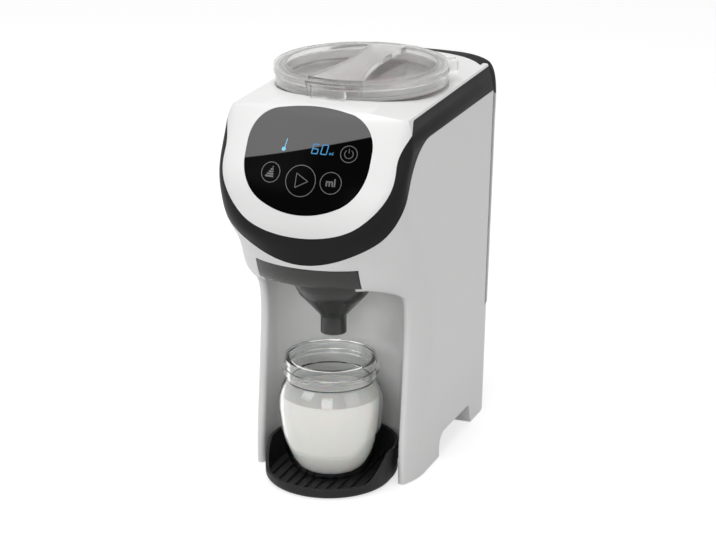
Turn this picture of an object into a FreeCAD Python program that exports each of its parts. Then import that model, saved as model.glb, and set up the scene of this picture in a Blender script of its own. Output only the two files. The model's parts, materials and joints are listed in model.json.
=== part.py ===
"""Countertop baby formula maker: powder on top, water behind, bottle bay in front.

Frame: millimetres, +Z up, front towards -Y. The origin is on the ground, under the middle of the
machine's box. The powder drive turns about the line x = 0, y = 0.
"""
import FreeCAD, Part
import math
import os
from FreeCAD import Vector

# ---- outer casing -------------------------------------------------------------------------------
half_width_foot = 66.0        # side wall at the ground
half_width_head = 72.5        # side wall at the shoulder
shoulder_z = 264.0            # where the side starts to turn in
shoulder_out = 0.05            # the shoulder's arc starts this far outside the drafted side
deck_edge_z = 287.5           # outer edge of the top deck
deck_edge_x = 67.3
crown_z = 293.0               # middle of the top deck
nose_y = 127.0                # furthest forward
rear_y = 127.0                # furthest back, the tank's rear wall
lower_rear_y = 125.0          # rear wall under the tank
rear_corner_r = 34.0
rear_round_r = 34.0           # top edge of the rear wall
foot_front_y = 99.0           # front of the columns at the ground
column_y = 85.0               # front of the columns under the chin
chin_z = 130.0                # where the chin starts to swell out of the columns
nose_z = 210.0
face_low_z = 244.0            # the slanted face, from here ...
face_low_y = 119.5
face_high_z = 285.0           # ... to here, where it rolls over into the deck
face_high_y = 96.5
wall = 3.0                    # casing wall
foot_lift = 0.8               # gap under the casing that the rubber feet fill

# ---- seams --------------------------------------------------------------------------------------
band_low_front = (-121.0, 183.4)
band_low_corner = (-77.0, 269.0)
band_low_rear_z = 267.0
band_low_bend_r = 44.0
band_high_front = (-127.0, 206.0)
band_high_knee = (-95.5, 268.0)
band_high_corner = (-74.0, 285.7)
band_high_bend_r = 9.0
seam_gap = 0.2                # groove on each side of the band

# ---- display ------------------------------------------------------------------------------------
display_half = 47.5
display_top_z = 294.6         # where the two halves of its top edge would meet
display_shoulder_z = 286.8
display_side_z = 238.0        # where the side turns into the rounded bottom
display_low_z = 216.5
display_shoulder_r = 24.0
display_side_r = 32.0
display_low_r = 68.0
display_top_r = 160.0
display_glass = 2.2
glass_gap = 0.15
glass_sunk = 0.1              # face of the glass, under the casing's face
glass_ledge = 2.0             # width of the ledge behind the edge of the glass
board_z = 254.0
board_back = 10.0             # from the casing's face to the board's front
board_half = 42.0
board_high = 48.0
board_thick = 1.6
board_chip = (8.0, 10.0, 3.0) # half width, half height and depth
board_chip_x = 22.0
post_r = 3.0
post_in = 4.0                 # from the board's edges to the posts

# ---- bottle bay and jar -------------------------------------------------------------------------
jar_y = -62.6
bay_r = 54.0
bay_top_z = 162.0
bay_arch_r = 16.0
bay_side_y = -56.0            # where the straight sides turn into the round back
lip_r = 3.2                   # rounding of the opening's edge
jar_foot_z = 4.4
jar_high = 90.5
jar_neck = 73.0               # height of the neck over the jar's foot
jar_outline = [(21.5, 0.0), (28.0, 3.2), (32.8, 12.0), (36.8, 30.0), (38.7, 45.0), (39.2, 55.0),
               (37.0, 66.0), (33.2, jar_neck)]
jar_rim_r = 34.8
jar_ring_r = 36.2
jar_neck_r = 33.8
jar_rim_high = 3.0
jar_ring_z = (10.5, 7.5)      # under the rim, the ring that the lid screws down to
jar_wall = 2.8
milk_gap = 0.05
milk_deep = 61.6              # from the jar's foot to the milk's surface
tray_y = -65.5
tray_r = 48.5
tray_gap = 0.4                # behind the tray, to the back of the bay
tray_wall = 2.4
tray_high_z = 25.0
tray_lip_z = 8.2
tray_lip_y = -89.0            # where the side rims start to rise from the lip
tray_rim_y = -68.0            # where they reach their full height
tray_round_r = 5.0            # lower edge
tray_floor_z = 2.0
tray_foot_z = 0.0
rib_pitch = 8.0
rib_width = 4.6

# ---- mixing drawer and funnel -------------------------------------------------------------------
drawer_half = 39.3
drawer_low_z = 165.4
drawer_high_z = 180.8
drawer_back_y = -14.0
drawer_gap = 0.5
drawer_floor = 6.0
rail_width = 4.0              # ledge on each side that the drawer runs on
roof_thick = 2.6              # plate over the drawer
funnel_y = -57.0
funnel_rim_r = 33.0
funnel_rim_z = 176.0
nozzle_r = 9.7
nozzle_low_z = 112.5
nozzle_high_z = 125.0

# ---- machine floor ------------------------------------------------------------------------------
tunnel_front_y = -6.0
tunnel_rear_y = 62.0
tunnel_slant = 8.0
tunnel_z = 19.0
plate_thick = 2.5
ledge_thick = 3.0
ledge_in = 7.0                # width of the ledge that the base plate is screwed to
screw_r = 1.5
screw_head_r = 3.0
foot_r = 8.0                  # round rear feet
rear_foot_x = 46.0
rear_foot_y = 98.0
front_foot_half = 3.5         # long front feet under the columns
front_foot_y = (-44.0, -16.0)

# ---- powder chute and water outlet --------------------------------------------------------------
chute_low_r = 12.5
chute_high_r = 12.0
chute_wall = 1.5
spout_r = 5.0
spout_x = 22.0
pass_gap = 0.3                # around what passes through a wall or a roof

# ---- pump, heater and power inlet ---------------------------------------------------------------
hose_r = 3.5
hose_bore = 2.2
hose_bend_r = 9.0
pump_x = -34.0
pump_y = 62.0
pump_r = 17.0
pump_high = 34.0
pump_flange = 3.0
head_in = 5.0                 # the pump's head is this much narrower
head_high = 8.0
heater_x = 38.0
heater_y = 34.0
heater_r = 15.0
heater_high = 92.0
fin_count = 9
fin_thick = 3.0
fin_deep = 3.0
socket_x = 26.0
socket_z = 48.0
socket_half = 12.0
socket_high = 9.0
socket_gap = 0.3
inlet_deep = 22.0
inlet_hollow = 14.0
inlet_pin_r = 1.2
inlet_pin_x = 4.0

# ---- water tank ---------------------------------------------------------------------------------
shelf_z = 92.0
tank_seam_side_y = 91.3
tank_seam_mid_y = 98.0
tank_wall = 2.5
tank_gap = 0.4
lid_side_z = 266.0
lid_rear_z = 253.0
deck_rear_y = 96.8            # rear edge of the deck, against the tank lid
deck_corner_r = 35.0
valve_y = 109.5
valve_neck_r = 7.5
valve_stem_r = 2.0
valve_depth = 12.0            # how far the neck reaches below the shelf
dock_r = 10.3

# ---- powder container ---------------------------------------------------------------------------
container_r = 61.0
container_wall = 1.8
container_low_z = 236.0
collar_r = 64.0
collar_low_z = 289.0
collar_high_z = 299.0
collar_hole_r = 64.6
lid_r = 65.2
lid_low_z = 299.3
lid_high_z = 304.0
plateau_r = 57.0
plateau_z = 305.2
recess_r = 58.0               # outer wall of the finger recesses
recess_wall = 2.0
bridge_half = 9.8             # at its narrowest
bridge_arc_r = 238.0          # the bridge's sides bow in between its ends
bridge_waist_y = 13.4
recess_low_z = 291.5
outlet_y = -46.0
outlet_r = 9.0
well_gap = 0.8
well_wall = 2.5
well_floor_z = 231.0
dial_r = 58.0
dial_low_z = 239.4
dial_thick = 7.0
pocket_r = 8.5
pocket_count = 8

# ---- powder drive -------------------------------------------------------------------------------
gear_module = 1.25
output_teeth = 48
idler_teeth = 30
pinion_teeth = 12
gear_face = 8.0
gear_z = 212.0
backlash = 0.25
pinion_dir = 60.0             # direction from the idler to the pinion, degrees from +X
idler_dir = 90.0
drive_shaft_r = 5.0
motor_shaft_r = 1.5
idler_pin_r = 3.0
running_fit = 0.06
hex_r = 5.0
hex_gap = 0.25
drive_plate_z = 196.0
drive_plate_thick = 3.0
gearbox_top_z = 228.0
motor_r = 16.0
motor_long = 46.0

os.makedirs("parts", exist_ok=True)


def box(x0, x1, y0, y1, z0, z1):
    return Part.makeBox(x1 - x0, y1 - y0, z1 - z0, Vector(x0, y0, z0))


def cylinder(radius, z0, z1, x=0.0, y=0.0):
    return Part.makeCylinder(radius, z1 - z0, Vector(x, y, z0))


def ring(outer, inner, z0, z1, x=0.0, y=0.0):
    return cylinder(outer, z0, z1, x, y).cut(cylinder(inner, z0 - 1, z1 + 1, x, y))


def solid_of(wire, push):
    return Part.Face(wire).extrude(push)


def rounded(corners):
    """Closed wire through (point, radius) corners, each turned by a tangent arc."""
    edges = []
    ends = []
    count = len(corners)
    for i in range(count):
        here, radius = corners[i]
        before = (corners[i - 1][0] - here).normalize()
        after = (corners[(i + 1) % count][0] - here).normalize()
        half_turn = before.getAngle(after) / 2
        if radius == 0:
            ends.append((here, here, None))
            continue
        reach = radius / math.tan(half_turn)
        middle = here + (before + after).normalize() * (radius / math.sin(half_turn) - radius)
        ends.append((here + before * reach, here + after * reach, middle))
    for i in range(count):
        start, stop, middle = ends[i]
        if middle is not None:
            edges.append(Part.Arc(start, middle, stop).toShape())
        following = ends[(i + 1) % count][0]
        if (following - stop).Length > 1e-6:
            edges.append(Part.makeLine(stop, following))
    return Part.Wire(edges)


def side_profile(corners, half=100.0):
    """Prism along X over the whole width, from corners (y, z, radius)."""
    wire = rounded([(Vector(-half, y, z), radius) for y, z, radius in corners])
    return solid_of(wire, Vector(2 * half, 0, 0))


def front_profile(corners, reach=150.0):
    """Prism along Y over the whole depth, from corners (x, z, radius)."""
    wire = rounded([(Vector(x, -reach, z), radius) for x, z, radius in corners])
    return solid_of(wire, Vector(0, 2 * reach, 0))


def plan_profile(corners, z0, z1):
    wire = rounded([(Vector(x, y, z0), radius) for x, y, radius in corners])
    return solid_of(wire, Vector(0, 0, z1 - z0))


def turned(profile, x=0.0, y=0.0):
    """Revolve a closed (radius, z) outline about the vertical through (x, y)."""
    points = [Vector(x + r, y, z) for r, z in profile]
    wire = Part.makePolygon(points + [points[0]])
    return Part.Face(wire).revolve(Vector(x, y, 0), Vector(0, 0, 1), 360)


def save(name, shape):
    shape.exportStep("parts/" + name + ".step")


# ---- the casing's outer form --------------------------------------------------------------------
# Each section: height, front reach, radius of the front arc, radius of the front corners.
SECTIONS = [
    (-60.0, foot_front_y, 75.0, 60.0),
    (-30.0, foot_front_y, 75.0, 60.0),
    (0.0, foot_front_y, 75.0, 60.0),
    (30.0, foot_front_y - 2.0, 75.0, 60.0),
    (60.0, foot_front_y - 6.7, 75.0, 60.0),
    (chin_z - 30.0, column_y + 1.5, 75.0, 60.0),
    (chin_z, column_y, 75.0, 61.0),
    (chin_z + 15.0, column_y + 4.5, 76.0, 62.0),
    (chin_z + 26.0, column_y + 16.5, 78.0, 65.0),
    (chin_z + 36.0, nose_y - 14.4, 80.0, 67.0),
    (chin_z + 51.0, nose_y - 7.6, 80.0, 68.0),
    (nose_z - 16.0, nose_y - 3.4, 120.0, 61.0),
    (nose_z - 4.0, nose_y - 0.2, 200.0, 49.0),
    (nose_z + 12.0, nose_y - 1.4, 200.0, 33.0),
    (face_low_z, face_low_y, 200.0, 17.0),
    (face_low_z + 22.0, face_low_y - 11.8, 200.0, 15.0),
    (face_low_z + 32.0, face_low_y - 17.5, 200.0, 15.0),
    (face_high_z, face_high_y, 200.0, 15.0),
    (face_high_z + 4.0, face_high_y - 3.5, 200.0, 15.0),
    (face_high_z + 7.0, face_high_y - 8.5, 200.0, 15.0),
    (face_high_z + 9.0, face_high_y - 14.0, 200.0, 15.0),
    (face_high_z + 12.0, face_high_y - 24.0, 200.0, 15.0),
]


def half_width(z):
    return half_width_foot + (half_width_head - half_width_foot) * z / shoulder_z


def plan_section(z, reach, front_r, corner_r, inset, back):
    """Closed outline at height z: flat back, drafted sides, rounded front."""
    side = half_width(z) - inset
    front = -reach + inset
    front_r = front_r - inset
    corner_r = corner_r - inset
    back = back - inset
    back_r = rear_corner_r - inset
    front_centre = Vector(0, front + front_r, z)
    drop = math.sqrt((front_r - corner_r) ** 2 - (side - corner_r) ** 2)
    corner = Vector(side - corner_r, front_centre.y - drop, z)
    meet = front_centre + (corner - front_centre).normalize() * front_r
    outward = ((meet - corner).normalize() + Vector(1, 0, 0)).normalize()
    bulge = corner + outward * corner_r
    skew = back_r * math.sqrt(0.5)

    def flip(p):
        return Vector(-p.x, p.y, p.z)

    start = Vector(side, corner.y, z)
    rear_side = Vector(side, back - back_r, z)
    rear_bulge = Vector(side - back_r + skew, back - back_r + skew, z)
    rear_in = Vector(side - back_r, back, z)
    return Part.Wire([
        Part.makeLine(rear_side, start),
        Part.Arc(start, bulge, meet).toShape(),
        Part.Arc(meet, Vector(0, front, z), flip(meet)).toShape(),
        Part.Arc(flip(meet), flip(bulge), flip(start)).toShape(),
        Part.makeLine(flip(start), flip(rear_side)),
        Part.Arc(flip(rear_side), flip(rear_bulge), flip(rear_in)).toShape(),
        Part.makeLine(flip(rear_in), rear_in),
        Part.Arc(rear_in, rear_bulge, rear_side).toShape(),
    ])


def top_profile(inset):
    """Front view of the crowned deck and its turned-in shoulders."""
    low = -20.0
    wide = 90.0
    reach = 200.0
    shoulder = Vector(half_width_head - inset + shoulder_out, -reach, shoulder_z)
    edge = Vector(deck_edge_x - 0.6 * inset, -reach, deck_edge_z - inset)
    middle = (shoulder + edge) * 0.5
    outward = Vector(edge.z - shoulder.z, 0, shoulder.x - edge.x).normalize()
    bulge = middle + outward * 1.4
    crown = Vector(0, -reach, crown_z - inset)

    def flip(p):
        return Vector(-p.x, p.y, p.z)

    corner_high = Vector(wide, -reach, shoulder_z)
    corner_low = Vector(wide, -reach, low)
    wire = Part.Wire([
        Part.makeLine(corner_low, corner_high),
        Part.makeLine(corner_high, shoulder),
        Part.Arc(shoulder, bulge, edge).toShape(),
        Part.Arc(edge, crown, flip(edge)).toShape(),
        Part.Arc(flip(edge), flip(bulge), flip(shoulder)).toShape(),
        Part.makeLine(flip(shoulder), flip(corner_high)),
        Part.makeLine(flip(corner_high), flip(corner_low)),
        Part.makeLine(flip(corner_low), corner_low),
    ])
    return solid_of(wire, Vector(0, 2 * reach, 0))


def rear_in(z):
    """How far the rear wall has rolled forward at height z, on its way to the deck."""
    rise = min(max(z - (crown_z + 1.0 - rear_round_r), 0.0), rear_round_r)
    return rear_round_r - math.sqrt(rear_round_r ** 2 - rise ** 2)


def body_form(inset=0.0, back=rear_y, deck_inset=None):
    """The casing's form drawn in by inset; deck_inset sets the top's own amount."""
    drop = inset if deck_inset is None else deck_inset
    outlines = [plan_section(z, reach, front_r, corner_r, inset, back - rear_in(z))
                for z, reach, front_r, corner_r in SECTIONS]
    return Part.makeLoft(outlines, True, False).common(top_profile(drop))


def along(start, end, amount):
    """Point past the end of a line from start to end, or before its start if negative."""
    step = (Vector(*end) - Vector(*start)).normalize()
    base = Vector(*end) if amount > 0 else Vector(*start)
    return base + step * amount


def below_band(gap=0.0):
    """Everything under the band's lower seam."""
    lead = along((*band_low_front, 0), (*band_low_corner, 0), -40.0)
    return side_profile([
        (-180.0, -30.0, 0), (180.0, -30.0, 0), (180.0, band_low_rear_z - gap, 0),
        (band_low_corner[0] + gap, band_low_corner[1] - gap, band_low_bend_r),
        (lead.x + gap, lead.y - gap / 2, 0), (-180.0, lead.y, 0),
    ])


def above_band(gap=0.0):
    """Everything over the band's upper seam."""
    lead = along((*band_high_front, 0), (*band_high_knee, 0), -40.0)
    return side_profile([
        (lead.x - gap, lead.y + gap / 2, 0), (band_high_knee[0] - gap, band_high_knee[1] + gap / 2, 60.0),
        (band_high_corner[0] - gap, band_high_corner[1] + gap, band_high_bend_r),
        (180.0, band_high_corner[1] + gap, 0), (180.0, 340.0, 0), (-180.0, 340.0, 0),
        (-180.0, lead.y, 0),
    ])


def behind_seam(gap=0.0, z0=-10.0, z1=340.0):
    """Everything behind the gently bowed wall that the tank stands against."""
    half = half_width_head
    bow = tank_seam_mid_y - tank_seam_side_y
    radius = (half ** 2 + bow ** 2) / (2 * bow)
    block = box(-120, 120, 60, 260, z0, z1)
    return block.cut(cylinder(radius + gap, z0 - 1, z1 + 1, 0, tank_seam_mid_y - radius))


def lid_wings(gap=0.0):
    """Everything behind the rounded front edge of the tank lid, over the deck's edge."""
    low = deck_edge_z + 0.6 - gap
    side = half_width_head - gap
    rear = deck_rear_y - gap
    radius = deck_corner_r - gap
    deck = plan_profile([(-side, -120, 0), (side, -120, 0), (side, rear, radius), (-side, rear, radius)],
                        low - 1, 341)
    return box(-120, 120, 60, 260, low, 340).cut(deck)


def lid_zone(gap=0.0):
    """Everything over the tank lid's lower edge, which falls towards the rear."""
    return side_profile([
        (60.0, lid_side_z - gap, 0), (tank_seam_side_y, lid_side_z - gap, 0),
        (rear_y, lid_rear_z - gap, 0), (200.0, lid_rear_z - gap, 0), (200.0, 340.0, 0),
        (60.0, 340.0, 0),
    ])


def bay_form():
    """Niche for the bottle: straight sides, round back, arched top."""
    back = jar_y + bay_r
    niche = plan_profile([(-bay_r, -160, 0), (bay_r, -160, 0), (bay_r, back, back - bay_side_y),
                          (-bay_r, back, back - bay_side_y)], -5, bay_top_z)
    arch = front_profile([(-bay_r, -6, 0), (bay_r, -6, 0), (bay_r, bay_top_z, bay_arch_r),
                          (-bay_r, bay_top_z, bay_arch_r)])
    return niche.common(arch)


def lip_edges(shape):
    """Curved edges where the bay opens through the columns and the chin."""
    found = []
    for edge in shape.Edges:
        points = edge.discretize(5)
        in_bay = all(abs(p.x) < bay_r + 0.1 and p.y < bay_side_y and p.z < bay_top_z + 0.1 for p in points)
        if in_bay and edge.Curve.TypeId != "Part::GeomLine":
            found.append(edge)
    return found


def drawer_channel():
    half = drawer_half + drawer_gap
    low = drawer_low_z - drawer_gap
    high = drawer_high_z + drawer_gap
    slot = drawer_half - rail_width
    runway = box(-half, half, -160, drawer_back_y + drawer_gap, low, high)
    return runway.fuse(box(-slot, slot, -160, funnel_y + funnel_rim_r + 4, bay_top_z - 2, low + 1))


# ---- casing pieces ------------------------------------------------------------------------------
outer = body_form()
inner = body_form(wall)
roof_z = drawer_high_z + drawer_gap + roof_thick
bay_back = jar_y + bay_r + wall
floor_z = tunnel_z + ledge_thick


def tunnel():
    return side_profile([
        (tunnel_front_y, -5, 0), (tunnel_rear_y + tunnel_slant, -5, 0),
        (tunnel_rear_y, tunnel_z - 1, 4), (tunnel_front_y, tunnel_z, 10),
    ])


def inner_space():
    """Room for the works: over the drawer's roof, and behind the bay."""
    over = inner.common(box(-100, 100, -160, 160, roof_z, 300))
    behind = inner.common(box(-100, 100, bay_back, 160, floor_z, 300))
    front_of_seam = box(-120, 120, -180, 180, 0, 320).cut(behind_seam(-wall, shelf_z - wall))
    return over.fuse(behind).common(front_of_seam)


def outlet_holes():
    """Holes in the drawer's roof for the powder chute and the water outlet."""
    return [cylinder(chute_low_r + pass_gap, roof_z - roof_thick - 1, roof_z + 1, 0, funnel_y),
            cylinder(spout_r + pass_gap, roof_z - roof_thick - 1, roof_z + 1, spout_x, funnel_y)]


screw_spots = [(side * (half_width_foot - wall - ledge_in / 2), y) for side in (-1, 1)
               for y in (bay_back + ledge_in + 4, (bay_back + tunnel_rear_y) / 2, tunnel_rear_y - ledge_in)]
works = inner_space()
lower_shell = body_form(0.0, lower_rear_y).common(below_band(seam_gap))
lower_shell = lower_shell.common(box(-120, 120, -180, 180, foot_lift, 320))
fronted = lower_shell.cut(bay_form()).Solids[0]
fronted = fronted.makeFillet(lip_r, lip_edges(fronted))
housing = fronted.cut(works).cut(drawer_channel()).cut(tunnel())
housing = housing.cut(behind_seam(0.0, shelf_z))
floor_hole = box(-half_width_foot + wall + ledge_in, half_width_foot - wall - ledge_in,
                 bay_back + ledge_in, tunnel_rear_y - ledge_in, 0, floor_z + 1)
housing = housing.cut(floor_hole)
for hole in outlet_holes():
    housing = housing.cut(hole)
housing = housing.cut(cylinder(dock_r + pass_gap, shelf_z - wall - 1, shelf_z + 1, 0, valve_y))
socket_room = box(socket_x - socket_half, socket_x + socket_half, lower_rear_y - 6, lower_rear_y + 3,
                  socket_z - socket_high, socket_z + socket_high)
housing = housing.cut(socket_room)

for x, y in screw_spots:
    housing = housing.cut(cylinder(screw_r + 0.1, tunnel_z - 2, floor_z + 1, x, y))
    housing = housing.cut(cylinder(screw_head_r + 0.2, tunnel_z - 2, tunnel_z + 0.02, x, y))
save("lower_housing", housing)

shell = outer.cut(inner)
deck_hole = cylinder(collar_hole_r, shoulder_z, crown_z + 5)
lid_space = lid_wings(tank_gap).fuse(behind_seam(-0.01, band_low_rear_z - 40))


def display_outline(gap):
    half = display_half + gap
    low = display_low_z - gap
    shoulder = display_shoulder_z + gap
    top = display_top_z + gap
    return front_profile([
        (half, shoulder, display_shoulder_r), (half, display_side_z, display_side_r),
        (0, low, display_low_r),
        (-half, display_side_z, display_side_r), (-half, shoulder, display_shoulder_r),
        (0, top, display_top_r),
    ]).common(box(-100, 100, -160, 0, 200, 300))


cover = shell.common(above_band(seam_gap)).cut(deck_hole).cut(lid_space)
cover = cover.cut(display_outline(glass_gap))
open_top = -2.0
glass_back = glass_sunk + display_glass
backing = body_form(glass_back + glass_gap, rear_y, 1.0)
backing = backing.cut(body_form(glass_back + glass_gap + 2.0, rear_y, open_top))
cover = cover.fuse(backing.common(display_outline(glass_ledge)).cut(lid_space))
glass = body_form(glass_sunk).cut(body_form(glass_back, rear_y, open_top)).common(display_outline(0.0))

band = shell.cut(below_band(0.0)).cut(above_band(0.0)).cut(deck_hole).cut(lid_space)

# ---- display board, parallel to the slanted face ------------------------------------------------
face_lean = math.degrees(math.atan2(face_low_y - face_high_y, face_high_z - face_low_z))
face_y = -face_low_y + (board_z - face_low_z) * math.tan(math.radians(face_lean))
board_spot = Vector(0, face_y + board_back / math.cos(math.radians(face_lean)), board_z)


def on_face(shape):
    """Move a shape drawn with its front towards -Y to the board's place behind the face."""
    shape.rotate(Vector(0, 0, 0), Vector(1, 0, 0), -face_lean)
    shape.translate(board_spot)
    return shape


def face_post(x, z):
    post = Part.makeCylinder(post_r, board_back + 5, Vector(x, 0, z), Vector(0, -1, 0))
    return on_face(post)


board = on_face(box(-board_half, board_half, 0, board_thick, -board_high / 2, board_high / 2))
chip_half, chip_high, chip_deep = board_chip
for side in (-1, 1):
    chip = box(side * board_chip_x - chip_half, side * board_chip_x + chip_half,
               board_thick, board_thick + chip_deep, -chip_high, chip_high)
    board = board.fuse(on_face(chip))
post_x = board_half - post_in
post_high = board_high / 2 - post_in
posts = [face_post(sx * post_x, sz * post_high) for sx in (-1, 1) for sz in (-1, 1)]
inside_face = body_form(glass_back + 1.9)
for post in posts:
    cover = cover.fuse(post.common(inside_face))
save("top_cover", cover)
save("trim_band", band)
save("display_window", glass)
save("display_board", board)

# ---- container well and powder container --------------------------------------------------------
well_r = container_r + well_gap
well_rim_z = collar_low_z - 0.3
well = turned([
    (0, well_floor_z), (well_r + well_wall, well_floor_z), (well_r + well_wall, well_rim_z),
    (well_r, well_rim_z),
    (well_r, well_floor_z + 2.5), (0, well_floor_z + 2.5),
])
drive_hole_r = hex_r + 2.5
well = well.cut(cylinder(drive_hole_r, well_floor_z - 1, well_floor_z + 5))
well = well.cut(cylinder(outlet_r + 1.5, well_floor_z - 1, well_floor_z + 5, 0, outlet_y))
save("container_well", well)

container_in = container_r - container_wall
collar_in = collar_r - 2.6
container = turned([
    (0, container_low_z), (container_r, container_low_z), (container_r, collar_low_z),
    (collar_r, collar_low_z), (collar_r, collar_high_z), (collar_in, collar_high_z),
    (collar_in, collar_low_z + 2), (container_in, collar_low_z), (container_in, container_low_z + 3),
    (0, container_low_z + 3),
])
container = container.cut(cylinder(outlet_r, container_low_z - 1, container_low_z + 5, 0, outlet_y))
hub_r = 11.0
container = container.cut(cylinder(hub_r - 2.0, container_low_z - 1, container_low_z + 5))
save("powder_container", container)

dial_high_z = dial_low_z + dial_thick
dial = cylinder(dial_r, dial_low_z, dial_high_z)
for i in range(pocket_count):
    angle = 2 * math.pi * (i + 0.5) / pocket_count
    dial = dial.cut(cylinder(pocket_r, dial_low_z - 1, dial_high_z + 1, -outlet_y * math.cos(angle),
                             -outlet_y * math.sin(angle)))


def hexagon(across, z0, z1):
    points = [Vector(across * math.cos(math.pi * i / 3), across * math.sin(math.pi * i / 3), z0)
              for i in range(7)]
    return solid_of(Part.makePolygon(points), Vector(0, 0, z1 - z0))


hub_low_z = container_low_z + 0.4
hub_high_z = 262.0
hub = cylinder(hub_r - 2.4, hub_low_z, dial_low_z + 1)
hub = hub.fuse(cylinder(hub_r - 4, dial_low_z, dial_high_z + 1))
socket_top = dial_high_z - 1.0
dial = dial.fuse(hub).cut(hexagon(hex_r + hex_gap, hub_low_z - 1, socket_top))
save("dial_wheel", dial)

# Fixed baffle: keeps loose powder off the pocket that empties.
baffle_z = dial_high_z + 0.4
baffle = cylinder(container_in - 0.3, baffle_z, baffle_z + 1.6).common(
    plan_profile([(0, 0, 0), (-34, -70, 0), (34, -70, 0)], baffle_z - 1, baffle_z + 4))
baffle = baffle.cut(cylinder(hub_r + 1.5, baffle_z - 1, baffle_z + 4))
save("dial_cover", baffle)

arm_z = baffle_z + 2.2
arm_reach = dial_r - 2.0
stirrer = ring(hub_r, hub_r - 4 + 0.1, arm_z - 1, hub_high_z)
stirrer = stirrer.fuse(cylinder(hub_r, hub_high_z - 2, hub_high_z))
for i in range(3):
    arm = box(hub_r - 2, arm_reach, -2, 2, arm_z, arm_z + 5)
    paddle = box(arm_reach - 6, arm_reach, -1.5, 1.5, arm_z, hub_high_z + 14)
    blade = arm.fuse(paddle)
    blade.rotate(Vector(0, 0, 0), Vector(0, 0, 1), 90 + 120 * i)
    stirrer = stirrer.fuse(blade)
stirrer = stirrer.fuse(ring(arm_reach, arm_reach - 4, hub_high_z + 12, hub_high_z + 16))
stirrer = stirrer.fuse(cylinder(hub_r - 4, dial_high_z + 1, hub_high_z))
save("stirring_wheel", stirrer)

# ---- container lid ------------------------------------------------------------------------------
plug_r = collar_in - 0.5
lid = turned([
    (0, lid_low_z + 1.5), (plug_r - 2, lid_low_z + 1.5), (plug_r - 2, lid_low_z - 6.0),
    (plug_r, lid_low_z - 6.0), (plug_r, lid_low_z), (lid_r, lid_low_z),
    (lid_r, lid_high_z), (plateau_r, lid_high_z), (plateau_r, plateau_z), (0, plateau_z),
])


def half_moon(side, shrink, z0, z1):
    """Finger recess beside the bridge: gently bowed inner edge, round outer edge."""
    disc = cylinder(recess_r - shrink, z0, z1)
    inner = bridge_half + bridge_arc_r
    return disc.common(cylinder(bridge_arc_r - shrink, z0, z1, side * inner, bridge_waist_y))


for side in (-1, 1):
    lid = lid.fuse(half_moon(side, 0.0, recess_low_z, lid_low_z + 3))
for side in (-1, 1):
    lid = lid.cut(half_moon(side, recess_wall, recess_low_z + 1.8, plateau_z + 1))
tab_half = 13.0
lug_dir = 30.0
lug_half = 7.0
lug_out = 6.5
tab = box(-tab_half, tab_half, -lid_r - 3.5, -lid_r + 6, crown_z + 0.6, lid_high_z - 1)
lug = box(lid_r - 4, lid_r + lug_out, -lug_half, lug_half, collar_high_z - 4, lid_high_z)
lug.rotate(Vector(0, 0, 0), Vector(0, 0, 1), lug_dir)
for piece in (tab, lug):
    piece = piece.cut(cylinder(collar_r + 0.5, crown_z - 10, lid_low_z + 0.2))
    lid = lid.fuse(piece.cut(cylinder(lid_r - 1, crown_z - 10, plateau_z + 5)))
save("container_lid", lid)
seal = ring(collar_in - 0.3, plug_r - 2, lid_low_z - 8.0, lid_low_z - 6.0)
save("lid_seal", seal)

# ---- powder chute and drive ---------------------------------------------------------------------
chute_top = well_floor_z - 0.3
chute_low = roof_z - roof_thick + 0.2


def leaning(r_low, r_high, spare):
    """Upright over the funnel, then leaning back to the powder outlet."""
    stations = [(r_low, funnel_y, chute_low - spare), (r_low, funnel_y, roof_z + 3.0),
                (r_high, outlet_y, chute_top - 2.0), (r_high, outlet_y, chute_top + spare)]
    rings = [Part.Wire([Part.makeCircle(r, Vector(0, y, z))]) for r, y, z in stations]
    return Part.makeLoft(rings, True, True)


chute = leaning(chute_low_r, chute_high_r, 0.0)
chute = chute.fuse(cylinder(chute_low_r + 1.2, roof_z + 0.3, roof_z + 2.3, 0, funnel_y))
chute = chute.cut(leaning(chute_low_r - chute_wall, chute_high_r - chute_wall, 1.0))
save("powder_chute", chute)


def tooth_half_angle(radius, pitch_r, teeth):
    base = pitch_r * math.cos(math.radians(20))

    def involute(r):
        pressure = math.acos(min(1.0, base / r))
        return math.tan(pressure) - pressure

    slack = backlash / 2 / pitch_r
    return math.pi / 2 / teeth + involute(pitch_r) - involute(max(radius, base)) - slack


def gear(teeth, turn, x, y, z0, z1, hole):
    """Spur gear with involute flanks; turn is the direction of one tooth in degrees."""
    pitch_r = gear_module * teeth / 2
    radii = [pitch_r - 1.2 * gear_module, pitch_r, pitch_r + 0.95 * gear_module]
    points = []
    for i in range(teeth):
        middle = math.radians(turn) + 2 * math.pi * i / teeth
        flank = [(r, tooth_half_angle(r, pitch_r, teeth)) for r in radii]
        shape = [(r, middle - half) for r, half in flank] + [(r, middle + half) for r, half in flank[::-1]]
        points += [Vector(x + r * math.cos(a), y + r * math.sin(a), z0) for r, a in shape]
    blank = solid_of(Part.makePolygon(points + [points[0]]), Vector(0, 0, z1 - z0))
    return blank.cut(cylinder(hole, z0 - 1, z1 + 1, x, y)) if hole else blank


def place_from(x, y, direction, distance):
    a = math.radians(direction)
    return x + distance * math.cos(a), y + distance * math.sin(a)


def mesh_turn(turn, teeth, direction, other_teeth):
    """Turn of the gear that lies in the given direction, so that the two are in mesh."""
    phase = ((direction - turn) * teeth / 360.0) % 1.0
    return direction + 180.0 - (0.5 - phase) * 360.0 / other_teeth


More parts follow.
